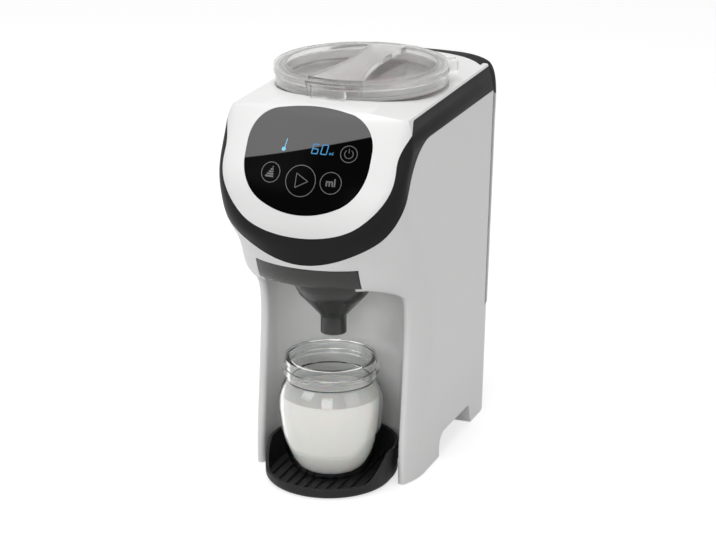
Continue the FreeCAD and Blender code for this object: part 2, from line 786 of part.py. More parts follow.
output_pitch = gear_module * output_teeth / 2
idler_pitch = gear_module * idler_teeth / 2
pinion_pitch = gear_module * pinion_teeth / 2
idler_x, idler_y = place_from(0, 0, idler_dir, output_pitch + idler_pitch)
pinion_x, pinion_y = place_from(idler_x, idler_y, pinion_dir, idler_pitch + pinion_pitch)
idler_turn = mesh_turn(0.0, output_teeth, idler_dir, idler_teeth)
pinion_turn = mesh_turn(idler_turn, idler_teeth, pinion_dir, pinion_teeth)
gear_top = gear_z + gear_face
plate_top = drive_plate_z + drive_plate_thick

output = gear(output_teeth, 0.0, 0, 0, gear_z, gear_top, 0)
output = output.fuse(cylinder(9, gear_z - 6, gear_top + 3))
output = output.fuse(cylinder(drive_shaft_r, plate_top - 2.6, well_floor_z - 1))
output = output.fuse(hexagon(hex_r, well_floor_z - 1.5, socket_top - 0.5))
for i in range(6):
    a = math.pi * (i + 0.5) / 3
    output = output.cut(cylinder(5.5, gear_z - 1, gear_top + 1, 18.5 * math.cos(a), 18.5 * math.sin(a)))
save("output_gear", output)
idler = gear(idler_teeth, idler_turn, idler_x, idler_y, gear_z, gear_top, 0)
idler = idler.fuse(cylinder(6.5, gear_z - 6, gear_top + 3, idler_x, idler_y))
idler = idler.cut(cylinder(idler_pin_r + running_fit, gear_z - 7, gear_top + 4, idler_x, idler_y))
save("idler_gear", idler)
pinion = gear(pinion_teeth, pinion_turn, pinion_x, pinion_y, gear_z - 1, gear_top + 1, 0)
pinion = pinion.fuse(cylinder(motor_shaft_r, drive_plate_z - 6, gear_z, pinion_x, pinion_y))
save("motor_pinion", pinion)

deck_inside = body_form(wall + 0.3)
drive_plate = deck_inside.common(box(-100, 100, -70, 160, drive_plate_z, plate_top))
drive_plate = drive_plate.cut(behind_seam(-wall - 0.3, 100))
drive_plate = drive_plate.cut(box(-20, 20, -75, -28, drive_plate_z - 1, plate_top + 1))
drive_plate = drive_plate.cut(cylinder(drive_shaft_r + running_fit, plate_top - 2.7, plate_top + 1))
shaft_hole = cylinder(motor_shaft_r + 0.5, drive_plate_z - 1, plate_top + 1, pinion_x, pinion_y)
drive_plate = drive_plate.cut(shaft_hole)
save("drive_plate", drive_plate)
idler_pin = cylinder(idler_pin_r, plate_top, gearbox_top_z - 2.4, idler_x, idler_y)
save("idler_pin", idler_pin)


def gearbox_form(grow, z0, z1):
    discs = [(output_pitch, 0, 0), (idler_pitch, idler_x, idler_y), (pinion_pitch, pinion_x, pinion_y)]
    form = None
    for pitch, x, y in discs:
        disc = cylinder(pitch + 1.5 + grow, z0, z1, x, y)
        form = form.fuse(disc) if form else disc
    return form


gearbox = gearbox_form(2.0, plate_top, gearbox_top_z)
gearbox = gearbox.cut(gearbox_form(0.0, plate_top - 1, gearbox_top_z - 2))
bush_r = drive_shaft_r + 2.5
gearbox = gearbox.cut(cylinder(bush_r, gearbox_top_z - 5, gearbox_top_z + 1))
save("gearbox_cover", gearbox)
bush = ring(bush_r, drive_shaft_r + running_fit, gearbox_top_z - 4, gearbox_top_z + 1.5)
save("drive_bush", bush)
motor_low = drive_plate_z - motor_long
motor = cylinder(motor_r, motor_low, drive_plate_z, pinion_x, pinion_y)
motor = motor.fuse(cylinder(5, motor_low - 4, motor_low, pinion_x, pinion_y))
shaft_bore = cylinder(motor_shaft_r + running_fit, drive_plate_z - 8, drive_plate_z + 1, pinion_x, pinion_y)
motor = motor.cut(shaft_bore)
save("drive_motor", motor)

# ---- mixing drawer and funnel -------------------------------------------------------------------
drawer_skin = 0.1
drawer_wall = 2.2
side_top = drawer_high_z - 3.0
drawer_room = body_form(drawer_skin + 3.0)
drawer = box(-drawer_half, drawer_half, -160, drawer_back_y, drawer_low_z, drawer_high_z)
drawer = drawer.common(body_form(drawer_skin))
inner_half = drawer_half - drawer_wall
hollow = box(-inner_half, inner_half, -160, drawer_back_y - drawer_wall, drawer_low_z + drawer_floor, 200)
drawer = drawer.cut(hollow.common(drawer_room))
drawer = drawer.cut(box(-100, 100, -160, 0, side_top, 200).common(drawer_room))
drawer = drawer.cut(cylinder(funnel_rim_r - 2.0, 150, 190, 0, funnel_y))
save("funnel_drawer", drawer)

funnel_mid_z = 143.0
seat_z = drawer_low_z + drawer_floor
seat_r = funnel_rim_r + 1.5
neck_r = funnel_rim_r - 2.6
bore_r = nozzle_r - 1.8
funnel_profile = [
    (nozzle_r, nozzle_low_z), (nozzle_r, nozzle_high_z), (nozzle_r + 1, nozzle_high_z + 2),
    (26.0, funnel_mid_z + 1), (neck_r - 0.4, 152.0), (neck_r, seat_z + 0.2), (seat_r, seat_z + 0.2),
    (seat_r, seat_z + 2.2), (neck_r, seat_z + 2.2), (neck_r, funnel_rim_z), (neck_r - 1.8, funnel_rim_z),
    (neck_r - 2.2, 153.0), (24.6, funnel_mid_z + 2.4), (nozzle_r - 0.6, nozzle_high_z + 3),
    (bore_r, nozzle_high_z), (bore_r, nozzle_low_z),
]
funnel = turned(funnel_profile, 0, funnel_y)
save("mixing_funnel", funnel)

# ---- bottle tray --------------------------------------------------------------------------------
tray_back_y = jar_y + bay_r - tray_gap - tray_r


def stadium(radius, z0, z1):
    """Upright prism with round ends, a little longer from front to back."""
    front, back = Vector(0, tray_y - radius, z0), Vector(0, tray_back_y + radius, z0)
    left, right = Vector(-radius, tray_y, z0), Vector(radius, tray_y, z0)
    left_back, right_back = Vector(-radius, tray_back_y, z0), Vector(radius, tray_back_y, z0)
    wire = Part.Wire([
        Part.Arc(left, front, right).toShape(), Part.makeLine(right, right_back),
        Part.Arc(right_back, back, left_back).toShape(), Part.makeLine(left_back, left),
    ])
    return solid_of(wire, Vector(0, 0, z1 - z0))


tray = stadium(tray_r, tray_foot_z, tray_high_z)
low_edges = [edge for edge in tray.Edges if edge.BoundBox.ZMax < tray_foot_z + 0.1]
tray = tray.makeFillet(tray_round_r, low_edges)
tray = tray.cut(stadium(tray_r - tray_wall, tray_floor_z, tray_high_z + 1))
swoop = side_profile([(-140, tray_lip_z, 0), (tray_lip_y, tray_lip_z, 10), (tray_rim_y, tray_high_z, 9),
                      (-50, tray_high_z, 0), (-50, 60, 0), (-140, 60, 0)])
tray = tray.cut(swoop)
rib_room = stadium(tray_r - tray_wall + 0.5, tray_floor_z - 0.5, jar_foot_z - 0.3)
rib_count = int((tray_r - tray_wall) / rib_pitch)
for i in range(-rib_count, rib_count + 1):
    rib = box(i * rib_pitch - rib_width / 2, i * rib_pitch + rib_width / 2, -120, 0, 0, 20)
    tray = tray.fuse(rib.common(rib_room))
save("bottle_tray", tray)

# ---- jar and milk -------------------------------------------------------------------------------
def spline(points):
    curve = Part.BSplineCurve()
    curve.interpolate([Vector(r, jar_y, z) for r, z in points])
    return curve.toShape()


def jar_side(shrink):
    """Side of the jar from the edge of its foot up to its neck, drawn in by shrink."""
    round_high = jar_outline[3][1]
    return [(r - shrink, jar_foot_z + z + shrink * max(0.0, 1.0 - z / round_high)) for r, z in jar_outline]


def jar_form(shrink, top_z, neck_r):
    side = jar_side(shrink)
    foot_r, low = side[0]
    neck_z = jar_foot_z + jar_neck
    outline = [
        Part.makeLine(Vector(0, jar_y, low), Vector(foot_r, jar_y, low)),
        spline(side),
        Part.makeLine(Vector(side[-1][0], jar_y, neck_z), Vector(neck_r, jar_y, neck_z + 1)),
        Part.makeLine(Vector(neck_r, jar_y, neck_z + 1), Vector(neck_r, jar_y, top_z)),
        Part.makeLine(Vector(neck_r, jar_y, top_z), Vector(0, jar_y, top_z)),
        Part.makeLine(Vector(0, jar_y, top_z), Vector(0, jar_y, low)),
    ]
    return Part.Face(Part.Wire(outline)).revolve(Vector(0, jar_y, 0), Vector(0, 0, 1), 360)


jar_top_z = jar_foot_z + jar_high
neck_in = jar_neck_r - jar_wall
jar = jar_form(0.0, jar_top_z - 0.01, jar_neck_r)
jar = jar.fuse(ring(jar_ring_r, neck_in, jar_top_z - jar_ring_z[0], jar_top_z - jar_ring_z[1], 0, jar_y))
jar = jar.fuse(ring(jar_rim_r, neck_in, jar_top_z - jar_rim_high, jar_top_z, 0, jar_y))
save("glass_jar", jar.cut(jar_form(jar_wall, jar_top_z + 1, neck_in)))
surface_z = jar_foot_z + milk_deep
milk = jar_form(jar_wall + milk_gap, jar_top_z, neck_in - 0.5)
save("formula_milk", milk.common(box(-50, 50, -130, 0, 0, surface_z)))

# ---- water tank, lid and valve ------------------------------------------------------------------
tank_low_z = shelf_z + 0.4
tank_solid = outer.common(behind_seam(tank_gap)).common(box(-100, 100, 50, 200, tank_low_z, 320))
tank_body = tank_solid.cut(lid_zone(0.0))
hollow = body_form(tank_wall).common(behind_seam(tank_gap + tank_wall)).common(
    box(-100, 100, 50, 200, tank_low_z + tank_wall, 320))
neck_low_z = shelf_z - valve_depth
tank_body = tank_body.cut(hollow).fuse(cylinder(valve_neck_r, neck_low_z, tank_low_z + 1, 0, valve_y))
tank_body = tank_body.cut(cylinder(valve_neck_r - 2, neck_low_z + 2, tank_low_z + 4, 0, valve_y))
tank_body = tank_body.cut(cylinder(valve_stem_r + 1.4, neck_low_z - 1, neck_low_z + 3, 0, valve_y))
retainer_z = tank_low_z + tank_wall - 1.5
tank_body = tank_body.fuse(box(-valve_neck_r + 1, valve_neck_r - 1, valve_y - 1.5, valve_y + 1.5,
                               retainer_z, retainer_z + 1.5))
save("water_tank", tank_body)

lid_solid = tank_solid.common(lid_zone(-0.3))
wing = outer.common(lid_wings(0.0))
tank_lid = lid_solid.fuse(wing)
rim = hollow.common(box(-100, 100, 50, 200, lid_rear_z - 8, 320)).cut(lid_zone(-0.3))
plug = rim.common(body_form(tank_wall + 0.4)).common(behind_seam(tank_gap + tank_wall + 0.4))
plug_in = body_form(tank_wall + 2.2).common(behind_seam(tank_gap + tank_wall + 2.2))
tank_lid = tank_lid.fuse(plug.cut(plug_in))
lid_pocket = body_form(4.5).common(behind_seam(tank_gap + tank_wall + 2.2)).common(
    box(-100, 100, 50, 200, lid_rear_z - 10, deck_edge_z - 3))
tank_lid = tank_lid.cut(lid_pocket)
save("tank_lid", tank_lid)

seat_top = neck_low_z + 2
poppet = cylinder(valve_neck_r - 2.6, seat_top + 0.05, seat_top + 2, 0, valve_y)
poppet = poppet.fuse(cylinder(valve_stem_r, neck_low_z - 2, retainer_z - 4, 0, valve_y))
save("valve_poppet", poppet)


def coil(radius, wire_r, z0, z1, turns, x, y):
    """Coil spring of flat facets: a hexagonal wire through twelve stations a turn."""
    steps = 12 * turns
    rise = (z1 - z0 - 2 * wire_r) / steps
    stations = []
    for i in range(steps + 1):
        turn = math.pi / 6 * i
        loop = []
        for k in range(6):
            reach = radius + wire_r * math.cos(math.pi / 3 * k)
            height = z0 + wire_r + i * rise + wire_r * math.sin(math.pi / 3 * k)
            loop.append(Vector(x + reach * math.cos(turn), y + reach * math.sin(turn), height))
        stations.append(loop)
    faces = [Part.Face(Part.makePolygon(loop + [loop[0]])) for loop in (stations[0], stations[-1])]
    for low, high in zip(stations[:-1], stations[1:]):
        for k in range(6):
            a, b, c, d = low[k - 1], low[k], high[k], high[k - 1]
            faces.append(Part.Face(Part.makePolygon([a, b, c, a])))
            faces.append(Part.Face(Part.makePolygon([a, c, d, a])))
    return Part.Solid(Part.makeShell(faces))


spring = coil(4.6, 0.5, seat_top + 2.05, retainer_z - 0.1, 3, 0, valve_y)
save("valve_spring", spring)

cup_low = neck_low_z - 6
dock = ring(dock_r, dock_r - 1.8, cup_low, shelf_z - 0.2, 0, valve_y)
dock = dock.fuse(ring(dock_r + 1.6, dock_r - 1.8, shelf_z - wall - 2.3, shelf_z - wall - 0.3, 0, valve_y))
dock = dock.fuse(cylinder(dock_r, cup_low, cup_low + 2, 0, valve_y))
dock = dock.fuse(cylinder(1.6, cup_low + 1, neck_low_z - 2.3, 0, valve_y))
dock = dock.fuse(cylinder(4.5, cup_low - 8, cup_low + 1, 0, valve_y))
save("tank_dock", dock)
gland = ring(dock_r - 1.85, valve_neck_r + 0.3, neck_low_z + 3, neck_low_z + 6, 0, valve_y)
save("dock_seal", gland)

# ---- pump, heater and hoses ---------------------------------------------------------------------
stand_z = floor_z + plate_thick
base_plate = inner.common(box(-100, 100, bay_back + 0.3, lower_rear_y - 45, floor_z, stand_z))
base_plate = base_plate.common(body_form(wall + 0.3))
for x, y in screw_spots:
    base_plate = base_plate.cut(cylinder(screw_r + 0.1, floor_z - 1, stand_z + 1, x, y))
save("base_plate", base_plate)

pump = cylinder(pump_r, stand_z + 0.05, stand_z + pump_high, pump_x, pump_y)
pump = pump.fuse(cylinder(pump_r + pump_flange, stand_z + 0.05, stand_z + pump_flange, pump_x, pump_y))
pump_head_low = stand_z + pump_high
pump = pump.fuse(cylinder(pump_r - head_in, pump_head_low, pump_head_low + head_high, pump_x, pump_y))
save("water_pump", pump)

heater = cylinder(heater_r - fin_deep, stand_z + 0.05, stand_z + heater_high, heater_x, heater_y)
fin_pitch = (heater_high - fin_thick - 0.05) / (fin_count - 1)
for i in range(fin_count):
    z = stand_z + 0.05 + i * fin_pitch
    heater = heater.fuse(cylinder(heater_r, z, z + fin_thick, heater_x, heater_y))
save("inline_heater", heater)
thermostat_z = stand_z + heater_high
thermostat = cylinder(7, thermostat_z + 0.05, thermostat_z + 7, heater_x, heater_y)
save("thermostat", thermostat)


def hose(points, bend, radius):
    """Round hose along straight runs joined by tangent arcs."""
    edges = []
    here = points[0]
    for i in range(1, len(points) - 1):
        corner = points[i]
        before = (points[i - 1] - corner).normalize()
        after = (points[i + 1] - corner).normalize()
        half_turn = before.getAngle(after) / 2
        reach = bend / math.tan(half_turn)
        middle = corner + (before + after).normalize() * (bend / math.sin(half_turn) - bend)
        start = corner + before * reach
        stop = corner + after * reach
        edges += [Part.makeLine(here, start), Part.Arc(start, middle, stop).toShape()]
        here = stop
    edges.append(Part.makeLine(here, points[-1]))
    way = points[1] - points[0]
    section = Part.Wire([Part.makeCircle(radius, points[0], way)])
    return Part.Wire(edges).makePipeShell([section], True, False)


pump_head_z = stand_z + pump_high + head_high / 2
pump_top = stand_z + pump_high + head_high
crossing_z = cup_low - 26
tank_hose = hose([Vector(0, valve_y, cup_low - 8.05), Vector(0, valve_y, crossing_z),
                  Vector(pump_x, valve_y - 12, crossing_z), Vector(pump_x, valve_y - 12, pump_top + 10),
                  Vector(pump_x, pump_y, pump_top + 10), Vector(pump_x, pump_y, pump_top + 0.05)],
                 hose_bend_r, hose_r)
save("tank_hose", tank_hose)
fin_gap_z = stand_z + 0.05 + 1.5 * fin_pitch + fin_thick / 2
pump_hose = hose([Vector(pump_x + pump_r - head_in + 0.05, pump_y, pump_head_z),
                  Vector(-6, pump_y, pump_head_z), Vector(heater_x - 2 * heater_r, heater_y, fin_gap_z),
                  Vector(heater_x - heater_r + fin_deep - 0.1, heater_y, fin_gap_z)], 6.0, hose_r)
save("pump_hose", pump_hose)
run_z = roof_z + 6.0
outlet = ring(spout_r, hose_bore, roof_z - roof_thick + 0.2, run_z, spout_x, funnel_y)
outlet = outlet.fuse(cylinder(spout_r, run_z, run_z + 4.5, spout_x, funnel_y))
outlet = outlet.fuse(ring(spout_r + 2.4, spout_r - 1, roof_z + 0.3, roof_z + 1.8, spout_x, funnel_y))
save("water_outlet", outlet)
riser_x = heater_x + heater_r - hose_r
outlet_hose = hose([Vector(riser_x, heater_y, thermostat_z + 0.05), Vector(riser_x, heater_y, run_z),
                    Vector(spout_x, -10.0, run_z), Vector(spout_x, funnel_y + spout_r + 0.05, run_z)],
                   hose_bend_r, hose_r)
save("outlet_hose", outlet_hose)

# ---- electrics ----------------------------------------------------------------------------------
board_y = 6.0
main_board = box(-56, -4, board_y, board_y + board_thick, stand_z + 0.05, stand_z + 90)
for x, z, wide, high, deep in ((-46, 20, 12, 18, 12), (-28, 34, 14, 14, 9), (-44, 60, 16, 10, 7),
                               (-20, 70, 10, 10, 5)):
    front = board_y + board_thick
    main_board = main_board.fuse(box(x, x + wide, front, front + deep, stand_z + z, stand_z + z + high))
save("main_board", main_board)
inlet = box(socket_x - socket_half + socket_gap, socket_x + socket_half - socket_gap,
            lower_rear_y - inlet_deep, lower_rear_y,
            socket_z - socket_high + socket_gap, socket_z + socket_high - socket_gap)
hollow_y = lower_rear_y - inlet_hollow
inlet = inlet.cut(box(socket_x - 8, socket_x + 8, hollow_y, lower_rear_y + 1, socket_z - 5, socket_z + 5))
for side in (-1, 1):
    pin_spot = Vector(socket_x + side * inlet_pin_x, hollow_y - 0.5, socket_z)
    inlet = inlet.fuse(Part.makeCylinder(inlet_pin_r, inlet_hollow - 3, pin_spot, Vector(0, 1, 0)))
save("power_inlet", inlet)

# ---- feet and screws ----------------------------------------------------------------------------
front_foot_x = (bay_r + half_width_foot) / 2
feet = []
for side in (-1, 1):
    feet.append(box(side * front_foot_x - front_foot_half, side * front_foot_x + front_foot_half,
                    *front_foot_y, 0, foot_lift))
    feet.append(cylinder(foot_r, 0, foot_lift, side * rear_foot_x, rear_foot_y))
save("rubber_feet", Part.makeCompound(feet))

screws = []
for x, y in screw_spots:
    screws.append(cylinder(screw_head_r, tunnel_z - 1.4, tunnel_z, x, y).fuse(
        cylinder(screw_r, tunnel_z, stand_z - 0.3, x, y)))
save("base_screws", Part.makeCompound(screws))
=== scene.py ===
import json
import math

import bmesh
import bpy
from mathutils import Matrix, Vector
from mathutils.bvhtree import BVHTree


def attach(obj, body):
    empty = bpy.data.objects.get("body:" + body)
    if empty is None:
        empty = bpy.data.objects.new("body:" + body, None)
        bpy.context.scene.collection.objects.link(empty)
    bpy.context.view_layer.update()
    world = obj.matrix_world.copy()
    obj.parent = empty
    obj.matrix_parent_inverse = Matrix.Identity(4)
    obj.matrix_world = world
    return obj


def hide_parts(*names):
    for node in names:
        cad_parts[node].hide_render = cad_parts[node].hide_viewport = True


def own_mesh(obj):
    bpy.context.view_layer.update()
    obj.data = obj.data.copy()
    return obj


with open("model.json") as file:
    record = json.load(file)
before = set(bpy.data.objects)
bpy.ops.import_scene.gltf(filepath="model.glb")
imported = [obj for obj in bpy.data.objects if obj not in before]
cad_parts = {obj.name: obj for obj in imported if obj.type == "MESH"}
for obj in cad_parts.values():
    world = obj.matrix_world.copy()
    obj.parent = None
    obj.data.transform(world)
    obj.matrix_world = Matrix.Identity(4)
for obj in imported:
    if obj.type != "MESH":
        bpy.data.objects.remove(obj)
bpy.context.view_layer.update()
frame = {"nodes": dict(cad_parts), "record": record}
cadNodes = frame["nodes"]
behaviour = frame["record"]["behaviour"]
bodyOfNode = {node: body for body, members in behaviour["bodies"].items() for node in members}
mm = 0.001


def hexToLinear(text):
    channels = [int(text[i:i + 2], 16) / 255 for i in (0, 2, 4)]
    return tuple(c / 12.92 if c <= 0.04045 else ((c + 0.055) / 1.055) ** 2.4 for c in channels) + (1.0,)


def addNode(tree, kind, settings=None, inputs=None):
    node = tree.nodes.new(kind)
    for key, value in (settings or {}).items():
        setattr(node, key, value)
    for key, value in (inputs or {}).items():
        if isinstance(value, bpy.types.NodeSocket):
            tree.links.new(value, node.inputs[key])
        else:
            node.inputs[key].default_value = value
    return node


def startMaterial(name, sockets):
    material = bpy.data.materials.new(name)
    material.use_nodes = True
    tree = material.node_tree
    shader = tree.nodes["Principled BSDF"]
    for key, value in sockets.items():
        shader.inputs[key].default_value = value
    where = addNode(tree, "ShaderNodeTexCoord").outputs["Object"]
    return material, tree, shader, where


noiseLow, noiseHigh = 0.3, 0.7    # most of a noise pattern lies between these
peelDepth = 0.1 * mm
waveDepth = 0.2 * mm
lineStretch = 60.0                # lines per metre across, so that a tool line runs on round the piece


def perMetre(size):
    # how many times a detail of this size in millimetres fits into a metre
    return 1000 / size


def twoTones(tree, pattern, look):
    return addNode(tree, "ShaderNodeMix", {"data_type": "RGBA"}, {
        "Factor": pattern, "A": hexToLinear(look["dark"]), "B": hexToLinear(look["light"])}).outputs["Result"]


def glossRange(tree, pattern, look):
    return addNode(tree, "ShaderNodeMapRange", inputs={
        "Value": pattern, "From Min": noiseLow, "From Max": noiseHigh,
        "To Min": look["smooth"], "To Max": look["rough"]}).outputs["Result"]


def mouldedFinish(name, look, sockets=None):
    # two close tones, a little cloud in the gloss, and the fine orange peel that a tool leaves
    material, tree, shader, where = startMaterial(name, sockets or {})
    cloud = addNode(tree, "ShaderNodeTexNoise", inputs={
        "Vector": where, "Scale": perMetre(look["cloud"]), "Detail": 3.0})
    peel = addNode(tree, "ShaderNodeTexNoise", inputs={
        "Vector": where, "Scale": perMetre(look["peel"]), "Detail": 2.0})
    bump = addNode(tree, "ShaderNodeBump", inputs={
        "Height": peel.outputs["Fac"], "Strength": look["bump"], "Distance": peelDepth})
    tree.links.new(twoTones(tree, cloud.outputs["Fac"], look), shader.inputs["Base Color"])
    tree.links.new(glossRange(tree, cloud.outputs["Fac"], look), shader.inputs["Roughness"])
    tree.links.new(bump.outputs["Normal"], shader.inputs["Normal"])
    return material


def machinedFinish(name, look, sockets=None):
    # fine lines left by turning or drawing, stretched round the vertical axis
    material, tree, shader, where = startMaterial(name, sockets or {})
    spread = addNode(tree, "ShaderNodeMapping", inputs={
        "Vector": where, "Scale": (lineStretch, lineStretch, perMetre(look["line"]))})
    lines = addNode(tree, "ShaderNodeTexNoise", inputs={
        "Vector": spread.outputs["Vector"], "Scale": 1.0, "Detail": 4.0})
    tree.links.new(twoTones(tree, lines.outputs["Fac"], look), shader.inputs["Base Color"])
    tree.links.new(glossRange(tree, lines.outputs["Fac"], look), shader.inputs["Roughness"])
    return material


def clearFinish(name, look, sockets):
    # see-through moulding: tint and a faint haze that varies with the flow of the melt
    material, tree, shader, where = startMaterial(name, sockets)
    flow = addNode(tree, "ShaderNodeTexNoise", inputs={
        "Vector": where, "Scale": perMetre(look["flow"]), "Detail": 2.0})
    bump = addNode(tree, "ShaderNodeBump", inputs={
        "Height": flow.outputs["Fac"], "Strength": look["wave"], "Distance": waveDepth})
    tree.links.new(twoTones(tree, flow.outputs["Fac"], look), shader.inputs["Base Color"])
    tree.links.new(glossRange(tree, flow.outputs["Fac"], look), shader.inputs["Roughness"])
    tree.links.new(bump.outputs["Normal"], shader.inputs["Normal"])
    return material


# In each finish, cloud, peel, line and flow are the sizes of its detail in millimetres.
# Moulded ABS, satin white: soft broad highlights, no visible grain from a metre away.
whiteAbs = mouldedFinish("satinWhiteAbs", {
    "dark": "e9e9e9", "light": "f0f0ef", "cloud": 55.0,
    "smooth": 0.30, "rough": 0.38, "peel": 1.4, "bump": 0.05})
# Moulded ABS, satin black: charcoal, with only a weak sheen where it turns away.
blackAbs = mouldedFinish("satinBlackAbs", {
    "dark": "232323", "light": "282828", "cloud": 40.0,
    "smooth": 0.36, "rough": 0.46, "peel": 1.2, "bump": 0.07}, {"Specular IOR Level": 0.06})
# The same black ABS, spark-eroded dull and given a darker tone as painted shade, so that the tank lid stays
# dark under a lamp.
dullAbsWithPaintedShade = mouldedFinish("dullBlackAbsWithPaintedShade", {
    "dark": "141414", "light": "191919", "cloud": 30.0,
    "smooth": 0.40, "rough": 0.52, "peel": 0.8, "bump": 0.12}, {"Specular IOR Level": 0.04})
# Polypropylene with a fine spark-eroded grain, as on drip trays: dark and slightly dusty.
grainedPp = mouldedFinish("grainedBlackPolypropylene", {
    "dark": "303030", "light": "393939", "cloud": 25.0,
    "smooth": 0.42, "rough": 0.55, "peel": 0.7, "bump": 0.25}, {"Specular IOR Level": 0.1})
# Acetal: dull, slightly waxy rose plastic of the stirring parts.
roseAcetal = mouldedFinish("roseAcetal", {
    "dark": "c98b84", "light": "d79c94", "cloud": 18.0,
    "smooth": 0.40, "rough": 0.50, "peel": 0.9, "bump": 0.08})
# Acetal, natural: waxy off-white of small gears.
naturalAcetal = mouldedFinish("naturalAcetal", {
    "dark": "d9d4c4", "light": "e4e0d2", "cloud": 12.0,
    "smooth": 0.38, "rough": 0.48, "peel": 0.8, "bump": 0.06})
# ABS, mid grey, left as the tool made it: flat and a little mottled, for hidden structure.
greyAbs = mouldedFinish("matteGreyAbs", {
    "dark": "9b9b9c", "light": "a8a8a8", "cloud": 30.0,
    "smooth": 0.45, "rough": 0.58, "peel": 1.0, "bump": 0.12})
# Moulded rubber of feet and inlet: dull, with a faint bloom.
blackRubber = mouldedFinish("mouldedBlackRubber", {
    "dark": "181818", "light": "242424", "cloud": 9.0,
    "smooth": 0.62, "rough": 0.78, "peel": 0.6, "bump": 0.2})
# Silicone of hoses and seals: milky and soft-looking, lets a little light in.
milkySilicone = mouldedFinish("milkySilicone", {
    "dark": "c9c9c6", "light": "d8d8d5", "cloud": 14.0,
    "smooth": 0.42, "rough": 0.55, "peel": 1.0, "bump": 0.05},
    {"Subsurface Weight": 0.25, "Subsurface Scale": 0.003})
# Turned stainless steel: bright, with fine rings that break up the highlight.
turnedSteel = machinedFinish("turnedSteel", {
    "dark": "8f8f90", "light": "b4b4b5", "line": 0.35, "smooth": 0.22, "rough": 0.38}, {"Metallic": 1.0})
# Zinc-plated steel can of the motor and the pump: greyer, with coarse drawn lines.
zincPlate = machinedFinish("zincPlatedSteel", {
    "dark": "77797c", "light": "a2a4a6", "line": 0.9, "smooth": 0.34, "rough": 0.5}, {"Metallic": 1.0})
# Cast aluminium of the heater, shot-blasted: pale metal without a clear reflection.
castAluminium = mouldedFinish("blastedCastAluminium", {
    "dark": "a4a5a6", "light": "bdbebf", "cloud": 6.0,
    "smooth": 0.48, "rough": 0.62, "peel": 0.5, "bump": 0.5}, {"Metallic": 1.0})
# Glass-fibre board under green solder mask: glossy, with copper showing as paler patches.
circuitBoard = mouldedFinish("solderMaskedBoard", {
    "dark": "0d3a22", "light": "1a5636", "cloud": 5.0,
    "smooth": 0.3, "rough": 0.5, "peel": 1.6, "bump": 0.3})
# Milk formula: bright, slightly warm, light sinks in.
babyMilk = mouldedFinish("infantFormula", {
    "dark": "f1efea", "light": "f6f4ef", "cloud": 30.0,
    "smooth": 0.18, "rough": 0.25, "peel": 8.0, "bump": 0.01},
    {"Subsurface Weight": 0.4, "Subsurface Scale": 0.004, "IOR": 1.35})
# Copolyester, clear: bright edges, a grey cast through its thickness.
clearCopolyester = clearFinish("clearCopolyester", {
    "dark": "f2f2f1", "light": "f8f8f7", "flow": 30.0, "smooth": 0.10, "rough": 0.18, "wave": 0.1},
    {"Transmission Weight": 0.9, "IOR": 1.5})
# Smoked polycarbonate: nearly black in bulk, dark grey where one wall is seen against the light.
smokedPolycarbonate = clearFinish("smokedPolycarbonate", {
    "dark": "5a5a5a", "light": "646464", "flow": 40.0, "smooth": 0.12, "rough": 0.2, "wave": 0.1},
    {"Transmission Weight": 0.8, "IOR": 1.58})
# Smoked polypropylene: milky dark grey of the drawer and funnel.
smokedPp = clearFinish("smokedPolypropylene", {
    "dark": "353532", "light": "3c3c39", "flow": 25.0, "smooth": 0.2, "rough": 0.3, "wave": 0.1},
    {"Transmission Weight": 0.6, "IOR": 1.49})
# Soda-lime glass, pressed: gently rippled.
pressedGlass = clearFinish("pressedGlass", {
    "dark": "fafcfb", "light": "ffffff", "flow": 16.0, "smooth": 0.0, "rough": 0.03, "wave": 0.25},
    {"Transmission Weight": 1.0, "IOR": 1.52})
print("finishes made:", len(bpy.data.materials))


def linkPiece(piece, body, material, stands=()):
    if piece.name not in bpy.context.scene.collection.objects:
        bpy.context.scene.collection.objects.link(piece)
    piece.data.materials.clear()
    piece.data.materials.append(material)
    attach(piece, body)
    if stands:
        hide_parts(*stands)
    return piece


skin = {"weldGap": 0.002 * mm, "smoothUnder": 30.0}


def skinOf(nodeName, pieceName):
    # a merged copy of a CAD node, so that its curved faces shade smoothly and its edges stay sharp
    shape = bmesh.new()
    shape.from_mesh(cadNodes[nodeName].data)
    for layer in list(shape.loops.layers.uv):
        shape.loops.layers.uv.remove(layer)
    bmesh.ops.remove_doubles(shape, verts=shape.verts, dist=skin["weldGap"])
    bmesh.ops.dissolve_degenerate(shape, dist=skin["weldGap"], edges=shape.edges)
    for face in shape.faces:
        face.smooth = True
    for edge in shape.edges:
        edge.smooth = edge.calc_face_angle(0.0) < math.radians(skin["smoothUnder"])
    mesh = bpy.data.meshes.new(pieceName)
    shape.to_mesh(mesh)
    shape.free()
    return bpy.data.objects.new(pieceName, mesh)


